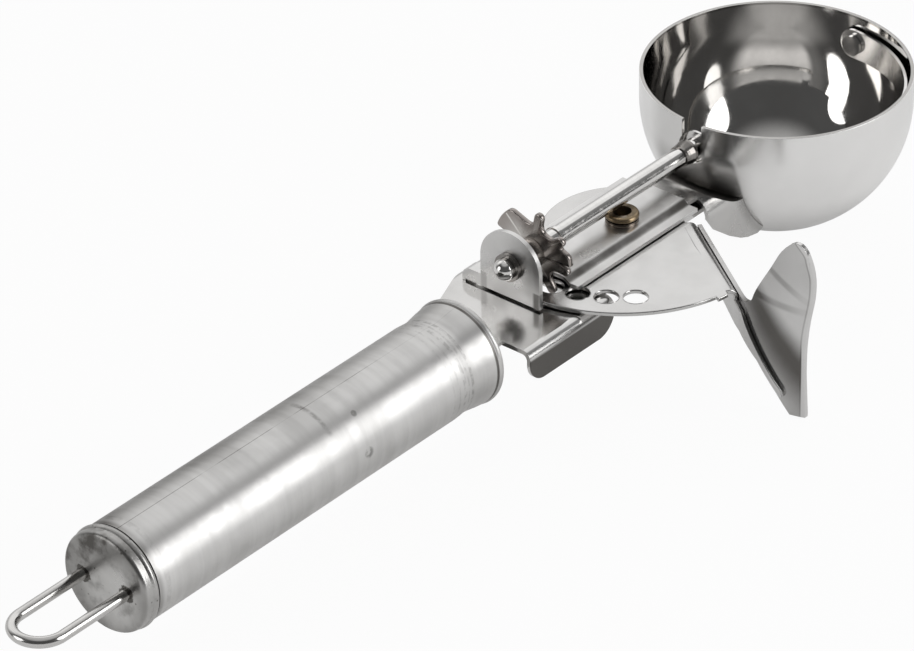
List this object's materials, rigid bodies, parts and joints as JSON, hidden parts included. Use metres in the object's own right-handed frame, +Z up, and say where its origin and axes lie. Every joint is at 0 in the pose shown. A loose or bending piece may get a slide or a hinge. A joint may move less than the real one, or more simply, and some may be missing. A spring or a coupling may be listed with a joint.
{
  "type": "lever ice cream scoop",
  "caption": "Ice cream scoop with a hemispherical bowl, a sweep blade and a side thumb lever that turns the blade through a punched sector and a star pinion.",
  "frame": {"origin": "centre of the handle tube's front mouth", "axes": "+X along the handle's axis towards the bowl, +Z up out of the open bowl, +Y to the left, away from the thumb lever"},
  "size_m": [0.254, 0.0811, 0.0422],
  "materials": {
    "handle_steel": "satin",
    "cap_steel": "satin",
    "plug_steel": "matte",
    "wire_steel": "gloss",
    "sheet_steel": "gloss",
    "bowl_steel": "gloss",
    "rod_steel": "gloss",
    "pinion_steel": "gloss",
    "spring_steel": "satin",
    "eyelet_brass": "satin"
  },
  "bodies": {
    "frame": {"handle_tube": "handle_steel", "front_plug": "plug_steel", "end_cap": "cap_steel", "hanging_loop": "wire_steel", "neck_plate": "sheet_steel", "channel_frame": "sheet_steel", "bowl_saddle": "sheet_steel", "bowl": "bowl_steel", "blade_pivot": "rod_steel", "pivot_eyelet": "eyelet_brass", "pivot_collar": "spring_steel", "return_spring": "spring_steel", "spring_stud": "spring_steel"},
    "lever": {"lever_sector": "sheet_steel", "thumb_paddle": "sheet_steel"},
    "drive": {"drive_rod": "rod_steel", "pinion": "pinion_steel", "rear_washer": "pinion_steel", "rod_collar": "rod_steel", "sweep_blade": "sheet_steel"}
  },
  "joints": [
    {"name": "lever_turn", "type": "hinge", "parent": "frame", "child": "lever", "pos_m": [0.048, -0.0015, 0.00495], "axis": [0, 0, -1], "range_deg": [0, 45.5], "stiffness_Nm_per_rad": 0.05},
    {"name": "drive_turn", "type": "hinge", "parent": "frame", "child": "drive", "pos_m": [0.0224, 0, 0.012], "axis": [1, 0, 0], "range_deg": [0, 159.25]}
  ],
  "couplings": [
    {"joint": "drive_turn", "follows": "lever_turn", "ratio": 3.5}
  ]
}
